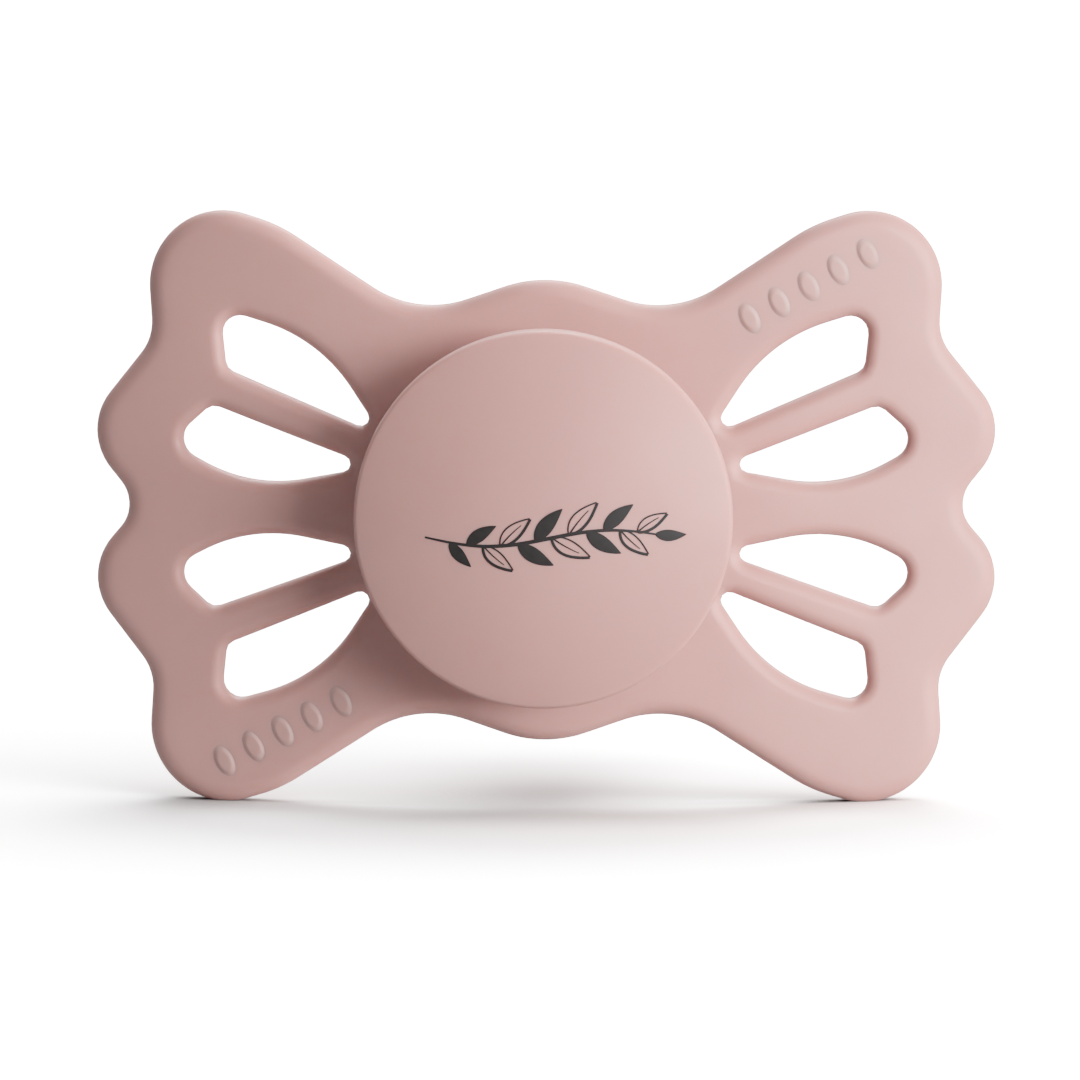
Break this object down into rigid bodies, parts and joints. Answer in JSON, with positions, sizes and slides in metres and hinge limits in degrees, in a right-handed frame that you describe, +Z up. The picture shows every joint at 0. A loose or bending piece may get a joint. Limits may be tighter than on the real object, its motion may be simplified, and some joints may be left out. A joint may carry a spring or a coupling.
{
  "type": "pacifier",
  "caption": "Knob-style pacifier: vented butterfly guard, flattened hollow silicone teat, and a round domed knob whose neck takes a clip loop.",
  "frame": {"origin": "middle of the footprint, at the height of the two lower wing tips that the guard stands on", "axes": "+Z up; +X to the right of someone facing the knob, along the guard's width; +Y from the knob to the teat"},
  "size_m": [0.0622, 0.0396, 0.0407],
  "materials": {
    "guard_plastic": "satin blush pink polypropylene",
    "knob_plastic": "satin blush pink polypropylene",
    "teat_silicone": "milky translucent silicone with a soft shine",
    "plug_plastic": "natural white polypropylene",
    "print_ink": "matt dark grey printed ink"
  },
  "bodies": {
    "shield": {"guard": "guard_plastic"},
    "teat": {"teat": "teat_silicone"},
    "knob": {"knob_base": "knob_plastic", "knob_cap": "knob_plastic", "teat_plug": "plug_plastic"}
  },
  "joints": [
    {"name": "knob_turn", "type": "hinge", "parent": "shield", "child": "knob", "pos_m": [0, -0.01045, 0.02036], "axis": [0, 1, 0], "continuous": true},
    {"name": "teat_turn", "type": "hinge", "parent": "shield", "child": "teat", "pos_m": [0, -0.01045, 0.02036], "axis": [0, 1, 0], "continuous": true}
  ]
}
